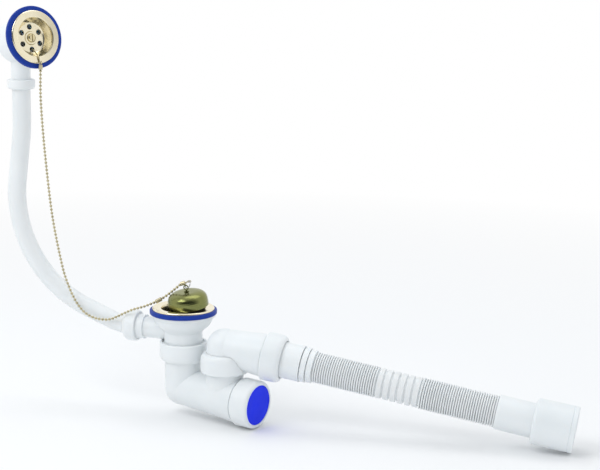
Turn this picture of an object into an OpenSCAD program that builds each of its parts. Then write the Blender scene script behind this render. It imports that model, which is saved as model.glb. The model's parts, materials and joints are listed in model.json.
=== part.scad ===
// Bath waste and overflow set with a plastic trap, a chained plug and a corrugated outlet hose.
// The origin is on the waste axis, on top of the waste gasket, where the bath floor would sit.
// +Z is up, +X runs along the outlet hose, and -Y is the side that the rosettes face.

/* [Bath waste] */
// Outside diameter of the waste rosette
waste_rosette_d = 70; // [66:0.5:74]
// Width of the waste gasket that shows around the rosette
waste_gasket_edge = 2.75; // [1.5:0.25:4]
// Thickness of the waste gasket
waste_gasket_h = 5; // [3.5:0.5:6]
// Diameter of the mouth of the waste cup
waste_cup_d = 49.2; // [48:0.2:50]
// Depth of the waste cup below the gasket's top
waste_cup_depth = 16.4; // [16.4:0.2:18]

/* [Trap] */
// Outside diameter of the male threads under the four large nuts
thread_d = 47; // [45:0.2:50]
// Wall of the trap's two upright legs
leg_wall = 2.5; // [2:0.1:3.5]
// Gap between the inlet nut and the outlet nut
nut_room = 3.7; // [2.5:0.1:8]
// Gap between the outlet leg and the cleanout nut
cleanout_room = 3.3; // [2.5:0.1:8]
// Fall of the chamber towards the cleanout, in degrees
chamber_fall = 2.2; // [1:0.2:4]
// Turn of the trap about the waste axis, in degrees
trap_turn = -18.7; // [-25:0.1:-12]

/* [Trap nuts] */
// Wall of the four large nuts around their threads
nut_wall = 3; // [2:0.1:4]
// Length of the four large nuts
nut_len = 21.4; // [20:0.2:24]
// Top of the inlet nut
inlet_nut_top = -37.4; // [-39:0.2:-36]
// Top of the outlet nut
outlet_nut_top = -41.4; // [-44:0.2:-40]

/* [Outlet] */
// Height of the elbow's axis over the outlet leg
elbow_z = -34.6; // [-36:0.2:-33]
// Distance from the outlet leg's axis to the start of the hose nut
elbow_reach = 47; // [45:0.5:55]
// Fall of the elbow's arm, in degrees
arm_fall = 8.4; // [6:0.2:10]
// Bore of the hose
hose_bore_d = 27; // [25:0.5:28]
// Outside diameter of the hose's plain length before the cuff
hose_plain_d = 37.5; // [37:0.5:40]
// Outside diameter of the end cuff
cuff_d = 50; // [48:0.5:52]
// Length of the end cuff
cuff_len = 46; // [40:1:55]

/* [Overflow] */
// Outside diameter of the overflow pipe
pipe_d = 20.8; // [20:0.2:21.2]
// Wall of the overflow pipe
pipe_wall = 1.8; // [1.4:0.1:2.2]
// Radius of the overflow pipe's large bend
pipe_bend_r = 136; // [125:1:145]
// Length of the straight upper run of the overflow pipe
pipe_top_run = 42; // [30:1:60]
// Outside diameter of the overflow rosette
overflow_rosette_d = 59.6; // [56:0.2:64]
// Width of the overflow gasket that shows around the rosette
overflow_gasket_edge = 5; // [2:0.5:7]
// Thickness of the overflow gasket
overflow_gasket_h = 4.5; // [3:0.5:6]
// Diameter of the mouth of the overflow cup
overflow_cup_d = 43; // [42:0.2:44]
// Turn of the overflow head about its pipe, in degrees
head_turn = -34; // [-45:1:0]
// Lean of the overflow head, in degrees
head_lean = 11; // [5:1:15]

/* [Plug and chain] */
// Height of the plug's metal dome
plug_h = 17; // [14:0.5:20]
// Diameter of a chain ball
ball_d = 3.2; // [2.8:0.1:3.4]
// Distance between the centres of two chain balls
ball_pitch = 4.1; // [4:0.05:4.5]

/* [Hidden] */
$fn = 96;

plastic = [0.93, 0.94, 0.95];
blue_rubber = [0.09, 0.25, 0.72];
brass = [0.80, 0.66, 0.38];
gilt = [0.90, 0.84, 0.66];
steel = [0.80, 0.80, 0.80];
black_rubber = [0.10, 0.10, 0.10];
eps = 0.01;

// Fits that every joint shares
thread_gap = 0.3;
slide_gap = 0.3;
seal_h = 2.4;
collar_h = 2.7;
shoulder_lip = 1.3;

// Diameters that follow the thread under the large nuts
thread_step = 2.5;
spigot_step = 3.5;
leg_d = thread_d - 2 * thread_step;
tail_d = leg_d + 1;
drain_bore_d = leg_d - 2 * leg_wall;
elbow_leg_d = thread_d - 2 * spigot_step;
elbow_end_d = thread_d + 1;
hose_spigot_d = thread_d - 2 * spigot_step;
chamber_end_d = thread_d + 2;
nut_d = thread_d + 2 * (thread_gap + nut_wall);

// Points of an arc, for the round stretches of a profile
function arc(cx, cy, r, a0, a1, n = 8) =
    [for (i = [0:n]) [cx + r * cos(a0 + (a1 - a0) * i / n), cy + r * sin(a0 + (a1 - a0) * i / n)]];

// A ring about Z, from z0 to z1, or a disc where its inner diameter is 0
module ring(outer_d, inner_d, z0, z1) {
    translate([0, 0, z0])
        difference() {
            cylinder(d = outer_d, h = z1 - z0);
            if (inner_d > 0) translate([0, 0, -1]) cylinder(d = inner_d, h = z1 - z0 + 2);
        }
}

// Pose at the start of leg k of a bent tube, as [x, y, heading]
// A leg is ["run", length] or ["bend", radius, turn]
function leg_pose(legs, from, k) = k == 0
    ? from
    : let (p = leg_pose(legs, from, k - 1), leg = legs[k - 1])
      leg[0] == "run"
        ? [p[0] + leg[1] * cos(p[2]), p[1] + leg[1] * sin(p[2]), p[2]]
        : let (side = sign(leg[2]) * leg[1], h = p[2] + leg[2])
          [p[0] + side * (sin(h) - sin(p[2])), p[1] + side * (cos(p[2]) - cos(h)), h];

// A bent tube or wire in the XY plane
// Each run laps the ends of the bends beside it, and the bends are slimmer by step
module bent_tube(legs, from, d, bore_d, lap, step) {
    last = len(legs) - 1;
    for (k = [0:last]) {
        p = leg_pose(legs, from, k);
        leg = legs[k];
        side = leg[0] == "run" ? 0 : sign(leg[2]);
        translate([p[0], p[1], 0]) rotate([0, 0, p[2]])
            if (leg[0] == "run")
                rotate([0, 90, 0])
                    ring(d, bore_d, k == 0 ? 0 : -lap, leg[1] + (k == last ? 0 : lap));
            else
                translate([0, side * leg[1], 0]) rotate([0, 0, side > 0 ? -90 : 90 + leg[2]])
                    rotate_extrude(angle = abs(leg[2])) translate([leg[1], 0])
                        difference() {
                            circle(d = d - step);
                            if (bore_d > 0) circle(d = bore_d + step);
                        }
    }
}

// A ball about the origin, with a tiny flat of depth cut at each end of its Z axis
module ball(d, cut) {
    rotate_extrude()
        intersection() {
            circle(d = d);
            translate([0, cut - d / 2]) square([d / 2, d - 2 * cut]);
        }
}

// A post about Z from z = 0 up to h, with a half ball under it that ends in a small flat
module round_post(d, h) {
    cut = 0.06;
    rotate_extrude() {
        intersection() {
            circle(d = d);
            translate([0, cut - d / 2]) square([d / 2, d / 2 - cut + eps]);
        }
        square([d / 2, h]);
    }
}

// How far a nut's shoulder rounds in, up to a flat lip about its opening
function shoulder_in(d, opening_d) = (d - opening_d) / 2 - shoulder_lip;

// Points of a rounded shoulder of radius r that ends at height top
function shoulder(r, top, high, turn_in, n = 6) =
    [for (i = [0:n]) let (a = 90 * i / n) [r - turn_in * (1 - cos(a)), top - high + high * sin(a)]];

// A coupling nut about Z: open, threaded end at z = 0 and a rounded shoulder at z = len
module coupling_nut(d, len, female_d, opening_d, shoulder_h, web) {
    r = d / 2;
    rim = 0.8;
    turn_in = shoulder_in(d, opening_d);
    rotate_extrude()
        polygon(concat(
            [[female_d / 2, 0], [r - rim, 0], [r, rim]],
            shoulder(r, len, shoulder_h, turn_in),
            [[opening_d / 2, len], [opening_d / 2, len - web], [female_d / 2, len - web]]));
}

big_shoulder_h = 8;
big_web = 3.7;

module big_nut(opening_d, shoulder_h = big_shoulder_h) {
    coupling_nut(nut_d, nut_len, thread_d + 2 * thread_gap, opening_d, shoulder_h, big_web);
}

// Heights that the inlet joint hangs on: nut web, leg collar, seal and tail
inlet_web_z = inlet_nut_top - nut_len + big_web;
inlet_leg_top = inlet_web_z + collar_h;
tail_end = inlet_leg_top + seal_h;

// Heights that the outlet joint hangs on: nut web, elbow collar, seal and trap leg
elbow_collar_top = outlet_nut_top - big_web;
elbow_leg_end = elbow_collar_top - collar_h;
outlet_leg_top = elbow_leg_end - seal_h;
outlet_nut_end = outlet_nut_top - nut_len;
leg_gap = nut_d + nut_room;
outlet_at = [leg_gap * cos(trap_turn), leg_gap * sin(trap_turn), 0];

// Distances along the elbow's arm: nut, arm end, seal and spigot collar
hose_web_t = elbow_reach + nut_len - big_web;
spigot_start = hose_web_t - collar_h;
arm_end = spigot_start - seal_h;

// Height of the chamber's axis under the inlet leg, and distances along it: nut, cap, neck and cone
chamber_drop = 3.2;
chamber_z = outlet_nut_end - chamber_drop - chamber_end_d / 2;
cleanout_reach = leg_gap + leg_d / 2 + cleanout_room + nut_len;
neck_end = cleanout_reach - big_web - collar_h;
chamber_neck_from = cleanout_reach - nut_len - 2.6;
chamber_cone_len = chamber_neck_from - 5;

collar_d = thread_d - 0.4;
seal_d = thread_d - 0.2;

module on_trap() { rotate([0, 0, trap_turn]) children(); }
module on_chamber() {
    on_trap() translate([0, 0, chamber_z]) rotate([0, 90 + chamber_fall, 0]) children();
}
module on_outlet() { translate(outlet_at) children(); }
module on_arm() {
    on_outlet() translate([0, 0, elbow_z]) rotate([0, 90 + arm_fall, 0]) children();
}

// Waste fitting

waste_gasket_d = waste_rosette_d + 2 * waste_gasket_edge;
body_flange_h = 2.6;
body_flange_d = waste_gasket_d - 3.5;
bowl_wall = 2.8;
bowl_r = 16.5;
bowl_x = 17;
bowl_z = -7;
bowl_sweep = 62;
bowl_end_z = -25.4;
gasket_bore_d = waste_cup_d + 4;
cup_wall = 1.3;
cup_floor_d = waste_cup_d - 6.4;
flange_h = 1.7;
drain_hole_d = 6.2;
drain_hole_ring = 12.6;
drain_holes = 6;
seat_d = 14;
seat_h = 1.2;
hub_d = 13;
hub_top = -waste_cup_depth - cup_wall - 1.2;
hub_bottom = hub_top - 13;
spoke_w = 2.6;
spokes = 3;
insert_d = 8;
screw_d = 5;
screw_head_d = 10.4;
screw_head_h = 2.6;

pipe_turn = 3;
branch_rise = 1;
branch_z = -25.4;
branch_d = pipe_d + 3;
branch_bore_d = pipe_d - 2.6;
branch_thread_d = pipe_d + 8.4;
branch_collar_d = branch_thread_d - 1.8;
branch_collar_len = 8.5;
small_nut_wall = 2.4;
branch_nut_d = branch_thread_d + 2 * (thread_gap + small_nut_wall);
branch_nut_len = 15.6;
branch_shoulder_h = 6.5;
branch_nut_from = 54;
branch_end = 61.6;
branch_socket = 40;
small_web = 2.6;

module on_branch() {
    rotate([0, 0, 180 - pipe_turn]) translate([0, 0, branch_z])
        rotate([0, 90 - branch_rise, 0]) children();
}

// A pressed rosette about Z: flange, tapered cup with drain holes and a raised screw seat
module rosette(flange_d, mouth_d, floor_d, depth) {
    lip = 1.6;
    difference() {
        union() {
            rotate_extrude()
                polygon(concat(
                    [[mouth_d / 2 + cup_wall, 0], [flange_d / 2 - 0.3, 0], [flange_d / 2, 0.5]],
                    arc(flange_d / 2 - flange_h, 0.5, flange_h, 0, 70, 5),
                    [[mouth_d / 2 + lip, flange_h - 0.1]],
                    [[mouth_d / 2 + 0.5, flange_h - 0.5], [mouth_d / 2, -0.6],
                     [floor_d / 2 + 0.8, -depth + 0.8], [floor_d / 2 - 0.4, -depth], [0, -depth],
                     [0, -depth - cup_wall], [floor_d / 2 + cup_wall * 0.5, -depth - cup_wall],
                     [floor_d / 2 + cup_wall + 0.6, -depth + 0.4], [mouth_d / 2 + cup_wall, -1.2]]));
            translate([0, 0, -depth - eps]) cylinder(d1 = seat_d + 1.6, d2 = seat_d, h = seat_h + eps);
        }
        for (i = [0:drain_holes - 1])
            rotate([0, 0, 360 / drain_holes * i]) translate([drain_hole_ring, 0, -depth - cup_wall - 1])
                cylinder(d = drain_hole_d, h = cup_wall + 2);
        translate([0, 0, -depth - cup_wall - 1]) cylinder(d = screw_d + 0.4, h = cup_wall + seat_h + 2);
    }
}

// A slotted screw about Z: the head stands on z = 0 and the shank runs down
module slotted_screw(shank_len) {
    slot_w = 1.2;
    difference() {
        union() {
            rotate_extrude()
                polygon(concat([[0, 0], [screw_head_d / 2, 0]],
                               arc(screw_head_d / 2 - screw_head_h, 0, screw_head_h, 0, 80, 6),
                               [[0, screw_head_h]]));
            translate([0, 0, -shank_len]) cylinder(d = screw_d, h = shank_len + eps);
        }
        translate([-screw_head_d, -slot_w / 2, screw_head_h - 1.2]) cube([2 * screw_head_d, slot_w, 2]);
    }
}

// A round nut insert about Z, hanging down from z = 0, with a shoulder on top
module insert(len) {
    difference() {
        union() {
            translate([0, 0, -len]) cylinder(d = insert_d, h = len);
            cylinder(d = insert_d + 2, h = 0.8);
        }
        translate([0, 0, -len - 1]) cylinder(d = screw_d + 0.1, h = len + 3);
    }
}

module waste_rosette() {
    color(gilt) rosette(waste_rosette_d, waste_cup_d, cup_floor_d, waste_cup_depth);
}

waste_screw_len = 14;
insert_len = 9;

module waste_screw() {
    color(brass) translate([0, 0, seat_h - waste_cup_depth]) slotted_screw(waste_screw_len);
}

module waste_gasket() {
    edge = 1;
    r = waste_gasket_d / 2 - edge;
    color(blue_rubber)
        rotate_extrude()
            polygon(concat([[gasket_bore_d / 2, -waste_gasket_h]],
                           arc(r, edge - waste_gasket_h, edge, -90, 0, 4), arc(r, -edge, edge, 0, 90, 4),
                           [[gasket_bore_d / 2, 0]]));
}

module waste_body() {
    flange_z = -waste_gasket_h;
    shell_bottom = bowl_z - bowl_r * sin(bowl_sweep);
    color(plastic) {
        difference() {
            union() {
                rotate_extrude()
                    polygon(concat([[0, flange_z], [body_flange_d / 2, flange_z],
                                    [body_flange_d / 2, flange_z - body_flange_h]],
                                   arc(bowl_x, bowl_z, bowl_r, -6, -bowl_sweep, 10),
                                   [[tail_d / 2, bowl_end_z], [tail_d / 2, inlet_nut_top - 1],
                                    [thread_d / 2, inlet_nut_top - 1.4], [thread_d / 2, tail_end],
                                    [0, tail_end]]));
                on_branch() {
                    cylinder(d = branch_d, h = branch_nut_from);
                    translate([0, 0, branch_nut_from - branch_collar_len])
                        cylinder(d = branch_collar_d, h = branch_collar_len);
                    translate([0, 0, branch_nut_from - 0.4])
                        cylinder(d = branch_thread_d, h = branch_end - branch_nut_from + 0.4);
                }
            }
            rotate_extrude()
                polygon(concat([[0, flange_z + 1], [bowl_x + bowl_r - bowl_wall, flange_z + 1]],
                               arc(bowl_x, bowl_z, bowl_r - bowl_wall, 0, -bowl_sweep, 10),
                               [[drain_bore_d / 2, bowl_end_z], [drain_bore_d / 2, tail_end - 1],
                                [0, tail_end - 1]]));
            on_branch() {
                cylinder(d = branch_bore_d, h = branch_end + 1);
                translate([0, 0, branch_socket])
                    cylinder(d = pipe_d + 2 * slide_gap, h = branch_end - branch_socket + 1);
            }
        }
        difference() {
            union() {
                translate([0, 0, hub_bottom]) cylinder(d = hub_d, h = hub_top - hub_bottom);
                for (i = [0:spokes - 1])
                    rotate([0, 0, 360 / spokes * i + 60]) translate([0, -spoke_w / 2, hub_bottom])
                        cube([drain_bore_d / 2 + 1.4, spoke_w, 8]);
            }
            translate([0, 0, hub_bottom - 1]) cylinder(d = insert_d, h = hub_top - hub_bottom + 2);
        }
    }
}

module waste_insert() {
    color(brass) translate([0, 0, hub_top]) insert(insert_len);
}

// Plug, standing askew on the edge of the waste cup

plug_d = waste_cup_d - 3.6;
plug_lean = 9;
plug_turn = -126;
plug_at = [6, 0, 3.9];
plug_seal_h = 9;
plug_seal_top_d = plug_d - 3.6;
plug_seal_low_d = plug_d - 11;
plug_power = 3.7;
dome_steps = 14;
eye_ring_r = 2.5;
eye_wire_d = 1.4;
eye_stem_h = 2.4;
eye_seat_z = plug_h - 0.15;
eye_z = eye_seat_z + eye_stem_h + eye_ring_r - 0.2;

module on_plug() {
    translate(plug_at) rotate([0, 0, plug_turn]) rotate([0, plug_lean, 0])
        rotate([0, 0, -plug_turn]) children();
}

// Outline of the dome, a superellipse from its rim to its top
function dome_points() =
    [for (i = [0:dome_steps]) let (a = 90 * i / dome_steps)
        [plug_d / 2 * pow(max(cos(a), 0), 2 / plug_power),
         min(eye_seat_z, plug_h * pow(sin(a), 2 / plug_power))]];

module plug_cap() {
    color(brass) on_plug() rotate_extrude() polygon(concat([[0, 0]], dome_points()));
}

module plug_seal() {
    color(black_rubber) on_plug()
        rotate_extrude()
            polygon([[0, -plug_seal_h], [plug_seal_low_d / 2 - 0.8, -plug_seal_h],
                     [plug_seal_low_d / 2, 0.8 - plug_seal_h], [plug_seal_low_d / 2 + 0.4, -4.4],
                     [plug_seal_top_d / 2, 0], [0, 0]]);
}

module plug_eye() {
    color(brass) on_plug() {
        translate([0, 0, eye_seat_z]) {
            cylinder(d = 5.6, h = 1);
            cylinder(d = 2.2, h = eye_stem_h);
        }
        translate([0, 0, eye_z])
            rotate([90, 0, 0]) rotate_extrude() translate([eye_ring_r, 0]) circle(d = eye_wire_d, $fn = 24);
    }
}

// Trap

neck_bore_d = thread_d - 6;
corner_step = 1;
bead_h = 1.6;
bead_gap = 0.6;
bead_d = thread_d - 2;
cap_window_d = collar_d - 1.8;
cap_plug_len = 5;
cap_dish_wall = 3.5;
cleanout_shoulder_h = 4;

module trap_body() {
    color(plastic)
        difference() {
            union() {
                on_trap() {
                    translate([0, 0, chamber_z]) round_post(leg_d, inlet_leg_top - chamber_z);
                    translate([0, 0, inlet_web_z]) cylinder(d = collar_d, h = collar_h);
                }
                on_outlet() {
                    translate([0, 0, chamber_z]) cylinder(d = leg_d, h = outlet_leg_top - chamber_z);
                    translate([0, 0, outlet_nut_end + bead_gap])
                        cylinder(d = thread_d, h = outlet_leg_top - outlet_nut_end - bead_gap);
                    translate([0, 0, outlet_nut_end - bead_h - bead_gap]) cylinder(d = bead_d, h = bead_h);
                }
                on_chamber() {
                    cylinder(d1 = leg_d - corner_step, d2 = chamber_end_d, h = chamber_cone_len);
                    translate([0, 0, chamber_cone_len - eps])
                        cylinder(d = chamber_end_d, h = chamber_neck_from - chamber_cone_len + eps);
                    translate([0, 0, chamber_neck_from - 1])
                        cylinder(d = thread_d, h = neck_end - chamber_neck_from + 1);
                }
            }
            translate([0, 0, chamber_z]) round_post(drain_bore_d, inlet_leg_top - chamber_z + 1);
            on_outlet() translate([0, 0, chamber_z])
                cylinder(d = drain_bore_d, h = outlet_leg_top - chamber_z + 1);
            on_chamber() cylinder(d1 = drain_bore_d - corner_step, d2 = neck_bore_d, h = neck_end + 0.5);
        }
}

module inlet_nut() {
    color(plastic) translate([0, 0, inlet_nut_top]) mirror([0, 0, 1]) big_nut(leg_d + 2 * slide_gap);
}

module inlet_seal() {
    color(black_rubber) ring(seal_d, drain_bore_d + 0.6, inlet_leg_top, tail_end);
}

module cleanout_nut() {
    color(plastic) on_chamber() translate([0, 0, cleanout_reach - nut_len])
        big_nut(cap_window_d, cleanout_shoulder_h);
}

module cleanout_cap() {
    plug_fit_d = neck_bore_d - 4 * slide_gap;
    plug_from = neck_end - cap_plug_len;
    color(blue_rubber) on_chamber()
        difference() {
            union() {
                translate([0, 0, neck_end]) cylinder(d = collar_d, h = collar_h);
                translate([0, 0, plug_from]) cylinder(d = plug_fit_d, h = cap_plug_len + eps);
                translate([0, 0, neck_end + collar_h - eps])
                    cylinder(d = cap_window_d - 0.4, h = big_web - 0.6);
            }
            translate([0, 0, plug_from - 1])
                cylinder(d = plug_fit_d - 2 * cap_dish_wall, h = cap_plug_len + 1);
        }
}

// Outlet elbow and its joints

arm_wall = 3;
nut_clearance = 0.4;
arm_cone_end = elbow_reach - 1;

// The space that the outlet nut fills, grown by gap, about the outlet leg's axis
module outlet_nut_space(gap) {
    r = nut_d / 2 + gap;
    top = outlet_nut_top + gap;
    low = outlet_nut_end - 20;
    turn_in = shoulder_in(nut_d, elbow_leg_d + 2 * slide_gap);
    rotate_extrude()
        polygon(concat([[0, low], [r, low]], shoulder(r, top, big_shoulder_h, turn_in), [[0, top]]));
}

module outlet_elbow() {
    bore_d = elbow_leg_d - 2 * arm_wall;
    leg_h = elbow_z - elbow_leg_end;
    color(plastic)
        difference() {
            union() {
                difference() {
                    on_arm() {
                        cylinder(d1 = elbow_leg_d - corner_step, d2 = elbow_end_d, h = arm_cone_end);
                        translate([0, 0, arm_cone_end - 1])
                            cylinder(d = thread_d, h = arm_end - arm_cone_end + 1);
                    }
                    on_outlet() outlet_nut_space(nut_clearance);
                }
                on_outlet() {
                    translate([0, 0, elbow_z]) mirror([0, 0, 1]) round_post(elbow_leg_d, leg_h);
                    translate([0, 0, elbow_leg_end]) cylinder(d = collar_d, h = collar_h);
                }
            }
            difference() {
                on_arm() cylinder(d1 = bore_d - corner_step, d2 = thread_d - 2 * arm_wall, h = arm_end + 1);
                on_outlet() outlet_nut_space(arm_wall + nut_clearance);
            }
            on_outlet() translate([0, 0, elbow_z]) mirror([0, 0, 1]) round_post(bore_d, leg_h + 1);
        }
}

module outlet_nut() {
    color(plastic) on_outlet() translate([0, 0, outlet_nut_end]) big_nut(elbow_leg_d + 2 * slide_gap);
}

module outlet_seal() {
    color(black_rubber) on_outlet()
        ring(seal_d, elbow_leg_d - 2 * arm_wall + 1, outlet_leg_top, elbow_leg_end);
}

module hose_nut() {
    color(plastic) on_arm() translate([0, 0, elbow_reach]) big_nut(hose_spigot_d + 2 * spigot_gap);
}

module hose_seal() {
    color(black_rubber) on_arm() ring(seal_d, thread_d - 2 * arm_wall + 0.6, arm_end, spigot_start);
}

// Corrugated hose, in three straight stretches: the arm's own line, the bellows and the cuff

hose_wall = 3.2;
spigot_gap = 1.2;
spigot_len = 28;
step_len = 6;
step_gap = 0.8;
steps = 2;
sleeve_len = 11;
rib_wall = 0.9;
plain_len = 39;
cuff_lip = 5;
cuff_groove = 0.6;
cuff_wall = 2.9;
hose_fall = 9.3;
cuff_fall = 8.2;

// Ribs of each part of the bellows: [count, pitch, width of a rib, height of a rib]
RIBS = [[27, 2.6, 1.5, 2.5],
        [6, 8.1, 5.2, 2.2],
        [32, 2.6, 1.5, 2.7]];

// Where rib group g starts, along the bellows
function ribs_from(g) = g == 0 ? 0 : ribs_from(g - 1) + RIBS[g - 1][0] * RIBS[g - 1][1];

hose_valley_d = hose_bore_d + 2 * rib_wall;
steps_len = steps * (step_len + step_gap) + 1;
bellows_len = ribs_from(len(RIBS));

module on_bellows() {
    on_outlet() translate([(spigot_start + spigot_len) * cos(arm_fall), 0,
                           elbow_z - (spigot_start + spigot_len) * sin(arm_fall)])
        rotate([0, 90 + hose_fall, 0]) translate([0, 0, steps_len]) children();
}
module on_cuff() {
    on_bellows() translate([0, 0, bellows_len + plain_len])
        rotate([0, cuff_fall - hose_fall, 0]) children();
}

module hose_spigot() {
    step_d = [hose_spigot_d - 1.6, hose_spigot_d - 3.4];
    neck_d = hose_valley_d + 3;
    color(plastic)
        difference() {
            union() {
                on_arm() {
                    translate([0, 0, spigot_start]) cylinder(d = collar_d, h = collar_h);
                    translate([0, 0, spigot_start]) cylinder(d = hose_spigot_d, h = spigot_len);
                }
                on_bellows() translate([0, 0, -steps_len]) {
                    translate([0, 0, -2]) cylinder(d = neck_d, h = steps_len + 2);
                    for (i = [0:steps - 1])
                        translate([0, 0, step_gap + i * (step_len + step_gap)])
                            cylinder(d = step_d[i], h = step_len);
                }
            }
            on_arm() translate([0, 0, spigot_start - 1])
                cylinder(d = hose_spigot_d - 2 * hose_wall, h = spigot_len);
            on_bellows() translate([0, 0, -steps_len - 3]) cylinder(d = hose_valley_d, h = steps_len + 4);
        }
}

// The bellows' wall waves in and out together, so the bore is ribbed as well
module hose_bellows() {
    r_in = hose_bore_d / 2;
    r_valley = hose_valley_d / 2;
    rib_edge = 0.3;
    rib_slope = 0.8;
    least_half = 0.25;
    groups = len(RIBS);
    outer = [for (g = [0:groups - 1])
                let (pitch = RIBS[g][1], half = RIBS[g][2] / 2, h = RIBS[g][3],
                     slope = min(rib_slope, (pitch / 2 - half) * 0.7))
                for (i = [0:RIBS[g][0] - 1],
                     p = [[-half - slope, 0], [-half, h - rib_edge], [rib_edge - half, h],
                          [half - rib_edge, h], [half, h - rib_edge], [half + slope, 0]])
                    [r_valley + p[1], ribs_from(g) + (i + 0.5) * pitch + p[0]]];
    inner = [for (g = [groups - 1:-1:0])
                let (pitch = RIBS[g][1], h = RIBS[g][3],
                     half = max(least_half, RIBS[g][2] / 2 - rib_wall + rib_edge))
                for (i = [RIBS[g][0] - 1:-1:0],
                     p = [[half + 0.1, 0], [half, h], [-half, h], [-half - 0.1, 0]])
                    [r_in + p[1], ribs_from(g) + (i + 0.5) * pitch + p[0]]];
    color(plastic) on_bellows() rotate_extrude()
        polygon(concat([[r_in, -sleeve_len], [r_valley, -sleeve_len]], outer,
                       [[r_valley, bellows_len + sleeve_len], [r_in, bellows_len + sleeve_len]], inner));
}

module hose_cuff() {
    flare = 3;
    joint = 3;
    r_plain = hose_plain_d / 2;
    r_cuff = cuff_d / 2;
    r_bore = r_plain - hose_wall;
    lip_from = cuff_len - cuff_lip;
    color(plastic)
        difference() {
            union() {
                on_bellows() translate([0, 0, bellows_len]) rotate_extrude()
                    polygon([[0, 0], [r_plain - 1, 0], [r_plain, 1], [r_plain, plain_len + joint],
                             [0, plain_len + joint]]);
                on_cuff() rotate_extrude()
                    polygon([[0, 0.2], [r_plain + 1.2, 0.2], [r_cuff - 1, flare * 0.6], [r_cuff, flare],
                             [r_cuff, lip_from - 1], [r_cuff - cuff_groove, lip_from - 0.5],
                             [r_cuff, lip_from], [r_cuff, cuff_len - 1], [r_cuff - 1, cuff_len],
                             [0, cuff_len]]);
            }
            on_bellows() translate([0, 0, bellows_len - 1]) cylinder(d = hose_valley_d, h = sleeve_len + 1);
            on_bellows() translate([0, 0, bellows_len + 1]) cylinder(r = r_bore, h = plain_len + joint + 1);
            on_cuff() translate([0, 0, joint + flare]) cylinder(r = r_cuff - cuff_wall, h = cuff_len);
        }
}

// Overflow pipe, as runs and bends in one upright plane: it leaves the branch, climbs and stands up

pipe_from = branch_socket + 1;
pipe_rise = 21.5;
pipe_sway = 7;
low_bend_r = 60;
PIPE = [["run", 25],
        ["bend", low_bend_r, pipe_rise - branch_rise],
        ["run", 33.4],
        ["bend", pipe_bend_r, 90 + pipe_sway - pipe_rise],
        ["run", 50],
        ["bend", pipe_bend_r, -pipe_sway],
        ["run", pipe_top_run]];

// Pose at the start of the pipe: distance out, height and heading
pipe_start = [pipe_from * cos(branch_rise), branch_z + pipe_from * sin(branch_rise), branch_rise];
pipe_end = leg_pose(PIPE, pipe_start, len(PIPE));
pipe_top = [-pipe_end[0] * cos(pipe_turn), pipe_end[0] * sin(pipe_turn), pipe_end[1]];

run_lap = 0.3;
bend_step = 0.1;
pipe_collar_d = pipe_d + 4.6;
pipe_collar_h = 1.9;
riser_seal_h = 1.8;
riser_thread_d = pipe_collar_d + 2 * thread_gap;
riser_thread_h = 5.2;
spigot_d = pipe_d + 1;
spigot_bore_d = pipe_d - 3.4;
riser_nut_d = riser_thread_d + 2 * (thread_gap + small_nut_wall);
riser_nut_len = 11;
riser_shoulder_h = 3.6;
riser_web = 2.7;

module on_pipe_plane() { rotate([0, 0, 180 - pipe_turn]) rotate([90, 0, 0]) children(); }
module on_riser() { translate(pipe_top) children(); }

module overflow_pipe() {
    color(plastic) {
        on_pipe_plane()
            bent_tube(PIPE, pipe_start, pipe_d, pipe_d - 2 * pipe_wall, run_lap, bend_step);
        on_riser() ring(pipe_collar_d, pipe_d - 0.4, -pipe_collar_h, 0);
    }
}

module branch_nut() {
    color(plastic) on_branch() translate([0, 0, branch_nut_from])
        coupling_nut(branch_nut_d, branch_nut_len, branch_thread_d + 2 * thread_gap,
                     pipe_d + 2 * slide_gap, branch_shoulder_h, small_web);
}

module branch_seal() {
    web = branch_nut_from + branch_nut_len - small_web;
    r_in = pipe_d / 2 + 0.05;
    r_out = branch_thread_d / 2 - 0.2;
    color(black_rubber) on_branch() rotate_extrude()
        polygon([[r_in, branch_end], [r_out, branch_end], [r_out, branch_end + 2],
                 [pipe_d / 2 + 2, web], [r_in, web]]);
}

module overflow_nut() {
    color(plastic) on_riser() translate([0, 0, riser_nut_len - pipe_collar_h - riser_web]) mirror([0, 0, 1])
        coupling_nut(riser_nut_d, riser_nut_len, riser_thread_d + 2 * thread_gap,
                     pipe_d + 2 * slide_gap, riser_shoulder_h, riser_web);
}

module overflow_seal() {
    color(black_rubber) on_riser() ring(pipe_collar_d - 0.2, pipe_d - 2 * pipe_wall + 0.4, 0, riser_seal_h);
}

// Overflow head: the head's own Z points out of the bath wall, its X points down the wall

head_h = 49.3;
head_setback = 31.6;
overflow_gasket_d = overflow_rosette_d + 2 * overflow_gasket_edge;
head_flange_d = overflow_gasket_d - 3.6;
head_flange_h = 2.6;
drum_d = overflow_cup_d + 6;
drum_back = 11.5;
drum_wall = 2.6;
drum_round = 3;
post_d = 12;
head_gasket_bore_d = overflow_cup_d + 3.2;
head_cup_depth = 9;
head_floor_d = overflow_cup_d - 10;
head_screw_len = 20;
head_insert_len = 10;

body_face = head_setback - overflow_gasket_h;
head_screw_from = head_setback - head_cup_depth + seat_h;
post_top = body_face - 13;

module on_head() {
    on_riser() translate([0, 0, head_h]) rotate([0, 90 - head_lean, head_turn]) children();
}

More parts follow.
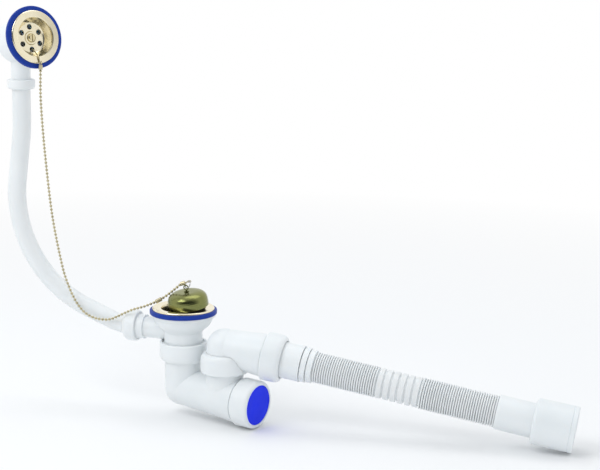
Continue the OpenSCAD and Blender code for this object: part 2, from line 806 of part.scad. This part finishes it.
module overflow_body() {
    r = drum_d / 2;
    flange_from = body_face - head_flange_h;
    drum_floor = drum_wall - drum_back;
    color(plastic) {
        difference() {
            union() {
                on_head() {
                    rotate_extrude()
                        polygon(concat([[0, -drum_back], [r - drum_round, -drum_back]],
                                       arc(r - drum_round, drum_round - drum_back, drum_round, -80, 0, 5),
                                       [[r, body_face - 6], [r + 2, flange_from], [0, flange_from]]));
                    translate([0, 0, flange_from]) cylinder(d = head_flange_d, h = head_flange_h);
                }
                on_riser() {
                    translate([0, 0, riser_seal_h]) cylinder(d = spigot_d, h = head_h - riser_seal_h);
                    translate([0, 0, riser_seal_h]) cylinder(d = riser_thread_d, h = riser_thread_h);
                }
            }
            on_head() translate([0, 0, drum_floor])
                cylinder(d = drum_d - 2 * drum_wall, h = body_face + drum_back);
            on_riser() cylinder(d = spigot_bore_d, h = head_h - r + drum_wall + 4);
        }
        on_head() difference() {
            translate([0, 0, drum_floor - eps]) cylinder(d = post_d, h = post_top - drum_floor);
            translate([0, 0, post_top - head_insert_len - 6])
                cylinder(d = insert_d, h = head_insert_len + 20);
        }
    }
}

module overflow_insert() {
    color(brass) on_head() translate([0, 0, post_top]) insert(head_insert_len);
}

module overflow_gasket() {
    r = overflow_gasket_d / 2;
    color(blue_rubber) on_head() translate([0, 0, body_face])
        rotate_extrude()
            polygon(concat([[head_gasket_bore_d / 2, 0]], arc(r - 1.2, 1.2, 1.2, -90, 0, 4),
                           arc(r - 1.2, overflow_gasket_h - 1.2, 1.2, 0, 90, 4),
                           [[head_gasket_bore_d / 2, overflow_gasket_h]]));
}

module overflow_rosette() {
    color(gilt) on_head() translate([0, 0, head_setback])
        rosette(overflow_rosette_d, overflow_cup_d, head_floor_d, head_cup_depth);
}

module overflow_screw() {
    color(brass) on_head() translate([0, 0, head_screw_from]) slotted_screw(head_screw_len);
}

// Chain of balls from the overflow cup to the plug, with a wire hook, two couplings and a split ring

hook_wire_d = 1.4;
hook_lap = 0.1;
hook_step = 0.04;
link_wire_d = 0.9;
chain_gap = 0.12;
coupling_d = 4.6;
coupling_len = 7.2;
split_ring_r = 4.2;
split_wire_d = 1.1;
ball_flat = 0.02;
loop_r = 1.5;
loop_wire_d = 0.8;
loop_stem_d = 1.2;

// A direction that leans from Z by lean, towards turn
function leaning(lean, turn) = [sin(lean) * cos(turn), sin(lean) * sin(turn), cos(lean)];

// A point of the head's own frame, in the part's frame
head_out = leaning(90 - head_lean, head_turn);
head_down = -leaning(-head_lean, head_turn);
function head_point(x, z) = pipe_top + [0, 0, head_h] + x * head_down + z * head_out;

hook_start = [drain_hole_ring - 1.2, head_setback - head_cup_depth - 3.6, 76];
hook_curl_r = 1.8;
HOOK = [["run", 4],
        ["bend", 3, -26],
        ["run", 12.3],
        ["bend", 3, -50],
        ["run", 5.1],
        ["bend", hook_curl_r, 215]];
hook_bend = leg_pose(HOOK, hook_start, len(HOOK) - 1);
chain_top = head_point(hook_bend[0] + hook_curl_r + 0.2, hook_bend[1] + hook_curl_r);

// The split ring stands up from the plug's eye, and the chain's last loop grips it at its top
ring_lean = 30;
ring_swing = 45;
ring_up = leaning(ring_lean, 0);
ring_side = sin(ring_swing) * leaning(ring_lean - 90, 0) + [0, cos(ring_swing), 0];
eye_at = plug_at + eye_z * leaning(plug_lean, plug_turn);
ring_at = eye_at + split_ring_r * ring_up;
chain_low = ring_at + split_ring_r * ring_up;

// Course of the chain: down the face of the head, in a slack bight, over the branch and up to the plug
COURSE = [chain_top,
          [-162.5, -12, 240],
          [-162, -11.5, 215],
          [-159, -11.5, 172],
          [-153.5, -11.5, 116],
          [-149, -11.5, 85],
          [-143.5, -11.5, 57],
          [-137.5, -11.5, 32],
          [-128, -11, 8],
          [-117, -10.5, -8],
          [-105, -10, -15.2],
          [-94, -10, -16.9],
          [-83, -9.5, -15.8],
          [-70, -9, -9.5],
          [-58, -8.5, -3.6],
          [-45, -8, 0.8],
          [-36, -7.6, 4.7],
          [-28.7, -6.8, 8.2],
          [-21.2, -5.8, 12.8],
          [-14, -4.8, 18.4],
          [-7, -4.4, 24.4],
          [-1, -4, 29.2],
          chain_low];

// A smooth curve through the course
function spline(p, i, t) =
    let (a = p[max(i - 1, 0)], b = p[i], c = p[i + 1], d = p[min(i + 2, len(p) - 1)])
    0.5 * (2 * b + (c - a) * t + (2 * a - 5 * b + 4 * c - d) * t * t + (3 * b - a - 3 * c + d) * t * t * t);
spline_steps = 6;
FINE = concat([for (i = [0:len(COURSE) - 2], j = [0:spline_steps - 1]) spline(COURSE, i, j / spline_steps)],
              [COURSE[len(COURSE) - 1]]);

// Length of the curve up to each of its points
function lengths(p, i = 0, sum = 0) =
    i == len(p) - 1 ? [sum] : concat([sum], lengths(p, i + 1, sum + norm(p[i + 1] - p[i])));
RUN = lengths(FINE);

// The point at distance s along the curve
function span_at(s, i = 0) = i >= len(RUN) - 2 || RUN[i + 1] >= s ? i : span_at(s, i + 1);
function chain_point(s) =
    let (i = span_at(s)) FINE[i] + (FINE[i + 1] - FINE[i]) * (s - RUN[i]) / (RUN[i + 1] - RUN[i]);

balls = floor(RUN[len(RUN) - 1] / ball_pitch);
BALL = [for (i = [0:balls]) chain_point(i * ball_pitch)];

// Turns Z to the direction v
module facing(v) { rotate([0, acos(v[2] / norm(v)), atan2(v[1], v[0])]) children(); }

// A round bar from a to b
module bar(a, b, d) {
    translate(a) facing(b - a) cylinder(d = d, h = norm(b - a), $fn = 16);
}

// Balls i0 to i1 and the links that join them, built up from halves
module chain_span(i0, i1) {
    if (i0 == i1) {
        translate(BALL[i0]) facing(BALL[i0 + 1] - BALL[i0]) rotate([90, 0, 0])
            ball(ball_d, ball_flat, $fn = 16);
        if (i0 < balls - 1) bar(BALL[i0], BALL[i0 + 1], link_wire_d);
    } else {
        half = floor((i0 + i1) / 2);
        chain_span(i0, half);
        chain_span(half + 1, i1);
    }
}

module chain() {
    color(brass)
        chain_span(1, balls - 1);
}

// A sleeve that grips the last ball and ends in a loop about the point f, square to the wire it holds
module end_coupling(ball, f, wire) {
    u = (f - ball) / norm(f - ball);
    mouth = 2.4;
    cap = ball_d / 2 + 0.4;
    difference() {
        bar(ball - mouth * u, ball + (cap + 0.6) * u, coupling_d);
        bar(ball - (mouth + 1) * u, ball + cap * u, ball_d + 2 * chain_gap);
    }
    bar(ball + cap * u, f - loop_r * u, loop_stem_d);
    translate(f) facing(wire - (wire * u) * u)
        rotate_extrude() translate([loop_r, 0]) circle(d = loop_wire_d, $fn = 16);
}

module chain_couplings() {
    mid = balls - 10;
    u = (BALL[mid + 1] - BALL[mid]) / norm(BALL[mid + 1] - BALL[mid]);
    centre = (BALL[mid] + BALL[mid + 1]) / 2;
    color(brass) {
        end_coupling(BALL[1], chain_top, head_out);
        end_coupling(BALL[balls - 1], chain_low, ring_side);
        difference() {
            bar(centre - coupling_len / 2 * u, centre + coupling_len / 2 * u, coupling_d);
            bar(centre - coupling_len * u, centre + coupling_len * u, ball_d + 2 * chain_gap);
        }
    }
}

module chain_hook() {
    color(steel) on_head() rotate([90, 0, 0])
        bent_tube(HOOK, hook_start, hook_wire_d, 0, hook_lap, hook_step, $fn = 24);
}

module split_ring() {
    color(steel) translate(ring_at) facing(cross(ring_up, ring_side))
        rotate_extrude() translate([split_ring_r, 0]) circle(d = split_wire_d, $fn = 24);
}

waste_rosette();
waste_screw();
waste_gasket();
waste_body();
waste_insert();
plug_cap();
plug_seal();
plug_eye();
split_ring();
chain();
chain_couplings();
chain_hook();
inlet_nut();
inlet_seal();
trap_body();
cleanout_nut();
cleanout_cap();
outlet_nut();
outlet_seal();
outlet_elbow();
hose_nut();
hose_seal();
hose_spigot();
hose_bellows();
hose_cuff();
branch_nut();
branch_seal();
overflow_pipe();
overflow_nut();
overflow_seal();
overflow_body();
overflow_insert();
overflow_gasket();
overflow_rosette();
overflow_screw();
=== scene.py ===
"""Finishes, light and camera for a bath waste and overflow set.

The set is shown on a plain pale floor: white moulded plastic, blue gaskets, pale gold
rosettes, a brass plug on a ball chain and a corrugated outlet hose. Lengths are in metres.
"""

import json
import math

import bpy
from mathutils import Matrix, Vector


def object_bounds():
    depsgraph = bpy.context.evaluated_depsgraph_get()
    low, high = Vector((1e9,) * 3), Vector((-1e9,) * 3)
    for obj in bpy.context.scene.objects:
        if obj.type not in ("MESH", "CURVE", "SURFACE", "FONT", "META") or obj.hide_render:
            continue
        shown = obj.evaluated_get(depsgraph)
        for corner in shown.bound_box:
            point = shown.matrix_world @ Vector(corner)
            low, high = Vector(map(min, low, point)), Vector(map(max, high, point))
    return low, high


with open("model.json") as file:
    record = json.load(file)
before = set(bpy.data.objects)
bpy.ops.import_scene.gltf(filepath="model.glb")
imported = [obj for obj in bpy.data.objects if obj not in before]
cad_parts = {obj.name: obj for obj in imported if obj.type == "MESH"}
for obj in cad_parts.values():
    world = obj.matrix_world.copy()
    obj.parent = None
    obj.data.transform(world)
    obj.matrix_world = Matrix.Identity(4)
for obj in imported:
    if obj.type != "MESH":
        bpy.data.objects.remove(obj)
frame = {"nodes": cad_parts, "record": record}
cad_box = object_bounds()
nodes = frame["nodes"]
scene = bpy.context.scene

# Camera, fitted to the photograph's 600 x 470 frame
CAMERA_AT = Vector((0.5223, -1.5583, 0.4008))
CAMERA_RIGHT = Vector((0.9696, 0.2443, 0.0130))
CAMERA_UP = Vector((-0.0585, 0.1799, 0.9820))
LENS_MM = 90
SENSOR_MM = 36

# Colours, as linear values
PLASTIC = (0.80, 0.83, 0.845)
PLASTIC_SHADE = (0.76, 0.795, 0.81)
GASKET_BLUE = (0.006, 0.034, 0.270)
CAP_BLUE = (0.002, 0.024, 0.88)
GILT = (0.90, 0.83, 0.64)
PLUG_BRASS = (0.24, 0.25, 0.09)
BRASS = (0.80, 0.70, 0.44)
CHAIN_BRASS = (0.60, 0.54, 0.36)
STEEL = (0.62, 0.63, 0.64)
BLACK = (0.012, 0.012, 0.013)
FLOOR = (0.90, 0.905, 0.91)


def add_camera():
    """The camera of the photograph's viewing angle."""
    data = bpy.data.cameras.new("camera")
    data.lens = LENS_MM
    data.sensor_width = SENSOR_MM
    data.sensor_fit = "HORIZONTAL"
    data.clip_end = 50
    obj = bpy.data.objects.new("camera", data)
    scene.collection.objects.link(obj)
    right = CAMERA_RIGHT.normalized()
    back = right.cross(CAMERA_UP).normalized()
    up = back.cross(right)
    turn = Matrix((right, up, back)).transposed().to_4x4()
    obj.matrix_world = Matrix.Translation(CAMERA_AT) @ turn
    scene.camera = obj


class Finish:
    """A node material being built: a Principled shader and helpers that feed it."""

    def __init__(self, name, color, metallic=0.0, roughness=0.4):
        self.mat = bpy.data.materials.new(name)
        self.mat.use_nodes = True
        self.tree = self.mat.node_tree
        self.bsdf = self.tree.nodes["Principled BSDF"]
        self.bsdf.inputs["Base Color"].default_value = (*color, 1)
        self.bsdf.inputs["Metallic"].default_value = metallic
        self.bsdf.inputs["Roughness"].default_value = roughness
        self.place = self.tree.nodes.new("ShaderNodeTexCoord").outputs["Object"]
        self.normal = None

    def node(self, kind, **values):
        made = self.tree.nodes.new(kind)
        for key, value in values.items():
            if key in made.inputs:
                made.inputs[key].default_value = value
            else:
                setattr(made, key, value)
        return made

    def link(self, source, target):
        self.tree.links.new(source, target)

    def noise(self, scale, detail=3.0, roughness=0.5):
        made = self.node("ShaderNodeTexNoise", Scale=scale, Detail=detail, Roughness=roughness)
        self.link(self.place, made.inputs["Vector"])
        return made.outputs["Fac"]

    def spread(self, source, low, high, to_low, to_high):
        made = self.node("ShaderNodeMapRange")
        for key, value in zip(("From Min", "From Max", "To Min", "To Max"), (low, high, to_low, to_high)):
            made.inputs[key].default_value = value
        self.link(source, made.inputs["Value"])
        return made.outputs["Result"]

    def tint(self, source, color_a, color_b):
        made = self.node("ShaderNodeMix", data_type="RGBA")
        made.inputs[6].default_value = (*color_a, 1)
        made.inputs[7].default_value = (*color_b, 1)
        self.link(source, made.inputs[0])
        self.link(made.outputs[2], self.bsdf.inputs["Base Color"])

    def bump(self, source, distance, strength=1.0):
        made = self.node("ShaderNodeBump", Distance=distance, Strength=strength)
        self.link(source, made.inputs["Height"])
        if self.normal is not None:
            self.link(self.normal, made.inputs["Normal"])
        self.normal = made.outputs["Normal"]
        self.link(self.normal, self.bsdf.inputs["Normal"])


def moulded_plastic(name, color, shade, roughness=0.36, depth=0.0, gloss=0.45):
    """Polypropylene: faint flow marks, a fine orange-peel skin and, where pale, a soft depth."""
    f = Finish(name, color, roughness=roughness)
    flow = f.noise(22, detail=2)
    f.tint(f.spread(flow, 0.35, 0.65, 0, 1), color, shade)
    f.link(f.spread(f.noise(160), 0.3, 0.7, roughness - 0.06, roughness + 0.08), f.bsdf.inputs["Roughness"])
    f.bump(f.noise(900, detail=2), 0.00006, 0.35)
    f.bump(f.noise(60, detail=1), 0.0004, 0.10)
    f.bsdf.inputs["Subsurface Weight"].default_value = depth
    f.bsdf.inputs["Subsurface Radius"].default_value = (0.9, 1.0, 1.1)
    f.bsdf.inputs["Subsurface Scale"].default_value = 0.003
    f.bsdf.inputs["Specular IOR Level"].default_value = gloss
    return f.mat


def soft_rubber(name, color, roughness):
    """Rubber: an even colour with a fine talc grain."""
    f = Finish(name, color, roughness=roughness)
    grain = f.noise(420, detail=4)
    f.tint(f.spread(grain, 0.3, 0.7, 0, 1), color, tuple(min(1, c * 1.25 + 0.004) for c in color))
    f.bump(grain, 0.00008, 0.4)
    f.bsdf.inputs["Specular IOR Level"].default_value = 0.15
    return f.mat


def polished_metal(name, color, dull, roughness):
    """Plated metal: polish haze, a few duller patches and fine scratches."""
    f = Finish(name, color, metallic=1.0, roughness=roughness)
    haze = f.noise(70, detail=4)
    f.tint(f.spread(haze, 0.35, 0.7, 0, 1), color, dull)
    f.link(f.spread(f.noise(260, detail=5), 0.3, 0.75, roughness, roughness + 0.12), f.bsdf.inputs["Roughness"])
    f.bump(f.noise(1400, detail=3), 0.00002, 0.25)
    return f.mat


def make_materials():
    return {
        "white_plastic": moulded_plastic("white_plastic", PLASTIC, PLASTIC_SHADE, depth=0.3),
        "blue_plastic": moulded_plastic("blue_plastic", CAP_BLUE, (0.002, 0.020, 0.80), 0.4, gloss=0.15),
        "blue_rubber": soft_rubber("blue_rubber", GASKET_BLUE, 0.42),
        "black_rubber": soft_rubber("black_rubber", BLACK, 0.6),
        "gilt": polished_metal("gilt", GILT, (0.84, 0.76, 0.54), 0.14),
        "brass": polished_metal("brass", BRASS, (0.70, 0.60, 0.36), 0.16),
        "plug_brass": polished_metal("plug_brass", PLUG_BRASS, (0.19, 0.205, 0.075), 0.14),
        "chain_brass": polished_metal("chain_brass", CHAIN_BRASS, (0.50, 0.45, 0.30), 0.2),
        "steel_wire": polished_metal("steel_wire", STEEL, (0.5, 0.51, 0.52), 0.2),
    }


def dress_nodes(materials):
    """Gives each carried-over node the material of its slot, or a shade of it."""
    chosen_by_node = {s["node"]: s["material_slot"] for s in frame["record"]["subparts"]}
    for name in ("chain", "chain_couplings", "chain_hook"):
        chosen_by_node[name] = "chain_brass"
    for name in ("plug_cap", "plug_eye"):
        chosen_by_node[name] = "plug_brass"
    for name, obj in nodes.items():
        chosen = chosen_by_node[name]
        obj.data.materials.clear()
        obj.data.materials.append(materials[chosen])


def add_floor():
    """A pale floor at the height of the set's lowest point, which fades to white far off."""
    reach = 12.0
    gap = 0.0006
    bpy.ops.mesh.primitive_plane_add(size=2 * reach, location=(0, 0, cad_box[0][2] - gap))
    floor = bpy.context.object
    floor.name = "floor"
    f = Finish("floor", FLOOR, roughness=0.75)
    f.bsdf.inputs["Specular IOR Level"].default_value = 0.2
    glow = f.node("ShaderNodeEmission", Color=(1, 1, 1, 1), Strength=1.0)
    mix = f.node("ShaderNodeMixShader")
    away = f.node("ShaderNodeVectorMath", operation="LENGTH")
    f.link(f.place, away.inputs[0])
    f.link(f.spread(away.outputs["Value"], 0.45, 1.6, 0, 1), mix.inputs[0])
    out = f.tree.nodes["Material Output"]
    f.link(f.bsdf.outputs[0], mix.inputs[1])
    f.link(glow.outputs[0], mix.inputs[2])
    f.link(mix.outputs[0], out.inputs["Surface"])
    floor.data.materials.append(f.mat)


def add_world():
    """White to the camera, soft grey light for the rest, and a darker room in front for gloss."""
    world = bpy.data.worlds.new("studio")
    scene.world = world
    world.use_nodes = True
    tree = world.node_tree
    tree.nodes.clear()
    out = tree.nodes.new("ShaderNodeOutputWorld")
    path = tree.nodes.new("ShaderNodeLightPath")
    light = tree.nodes.new("ShaderNodeBackground")
    light.inputs["Color"].default_value = (0.95, 0.975, 1.0, 1)
    light.inputs["Strength"].default_value = 0.84
    white = tree.nodes.new("ShaderNodeBackground")
    white.inputs["Color"].default_value = (1, 1, 1, 1)
    white.inputs["Strength"].default_value = 1.0
    # What gloss sees: white round about, dark in the direction of the viewer's side of the room
    gloss = tree.nodes.new("ShaderNodeBackground")
    where = tree.nodes.new("ShaderNodeTexCoord")
    side = tree.nodes.new("ShaderNodeVectorMath")
    side.operation = "DOT_PRODUCT"
    side.inputs[1].default_value = (0.25, -0.93, 0.05)
    ramp = tree.nodes.new("ShaderNodeValToRGB")
    ramp.color_ramp.elements[0].position = 0.25
    ramp.color_ramp.elements[0].color = (1, 1, 1, 1)
    ramp.color_ramp.elements[1].position = 0.80
    ramp.color_ramp.elements[1].color = (0.07, 0.08, 0.09, 1)
    tree.links.new(where.outputs["Generated"], side.inputs[0])
    tree.links.new(side.outputs["Value"], ramp.inputs["Fac"])
    tree.links.new(ramp.outputs["Color"], gloss.inputs["Color"])
    first = tree.nodes.new("ShaderNodeMixShader")
    second = tree.nodes.new("ShaderNodeMixShader")
    tree.links.new(path.outputs["Is Glossy Ray"], first.inputs[0])
    tree.links.new(light.outputs[0], first.inputs[1])
    tree.links.new(gloss.outputs[0], first.inputs[2])
    tree.links.new(path.outputs["Is Camera Ray"], second.inputs[0])
    tree.links.new(first.outputs[0], second.inputs[1])
    tree.links.new(white.outputs[0], second.inputs[2])
    tree.links.new(second.outputs[0], out.inputs["Surface"])


def add_lamp(name, at, toward, size, power):
    data = bpy.data.lights.new(name, "AREA")
    data.shape = "RECTANGLE"
    data.size = size[0]
    data.size_y = size[1]
    data.energy = power
    obj = bpy.data.objects.new(name, data)
    scene.collection.objects.link(obj)
    obj.location = at
    obj.rotation_euler = (Vector(toward) - Vector(at)).to_track_quat("-Z", "Y").to_euler()


add_camera()
dress_nodes(make_materials())
add_floor()
add_world()
add_lamp("key", (-0.9, -1.3, 1.7), (0.1, 0, 0), (1.2, 1.2), 14)
add_lamp("top", (0.2, 0.5, 1.9), (0.15, 0, 0), (1.6, 1.0), 6)
scene.view_settings.view_transform = "Standard"
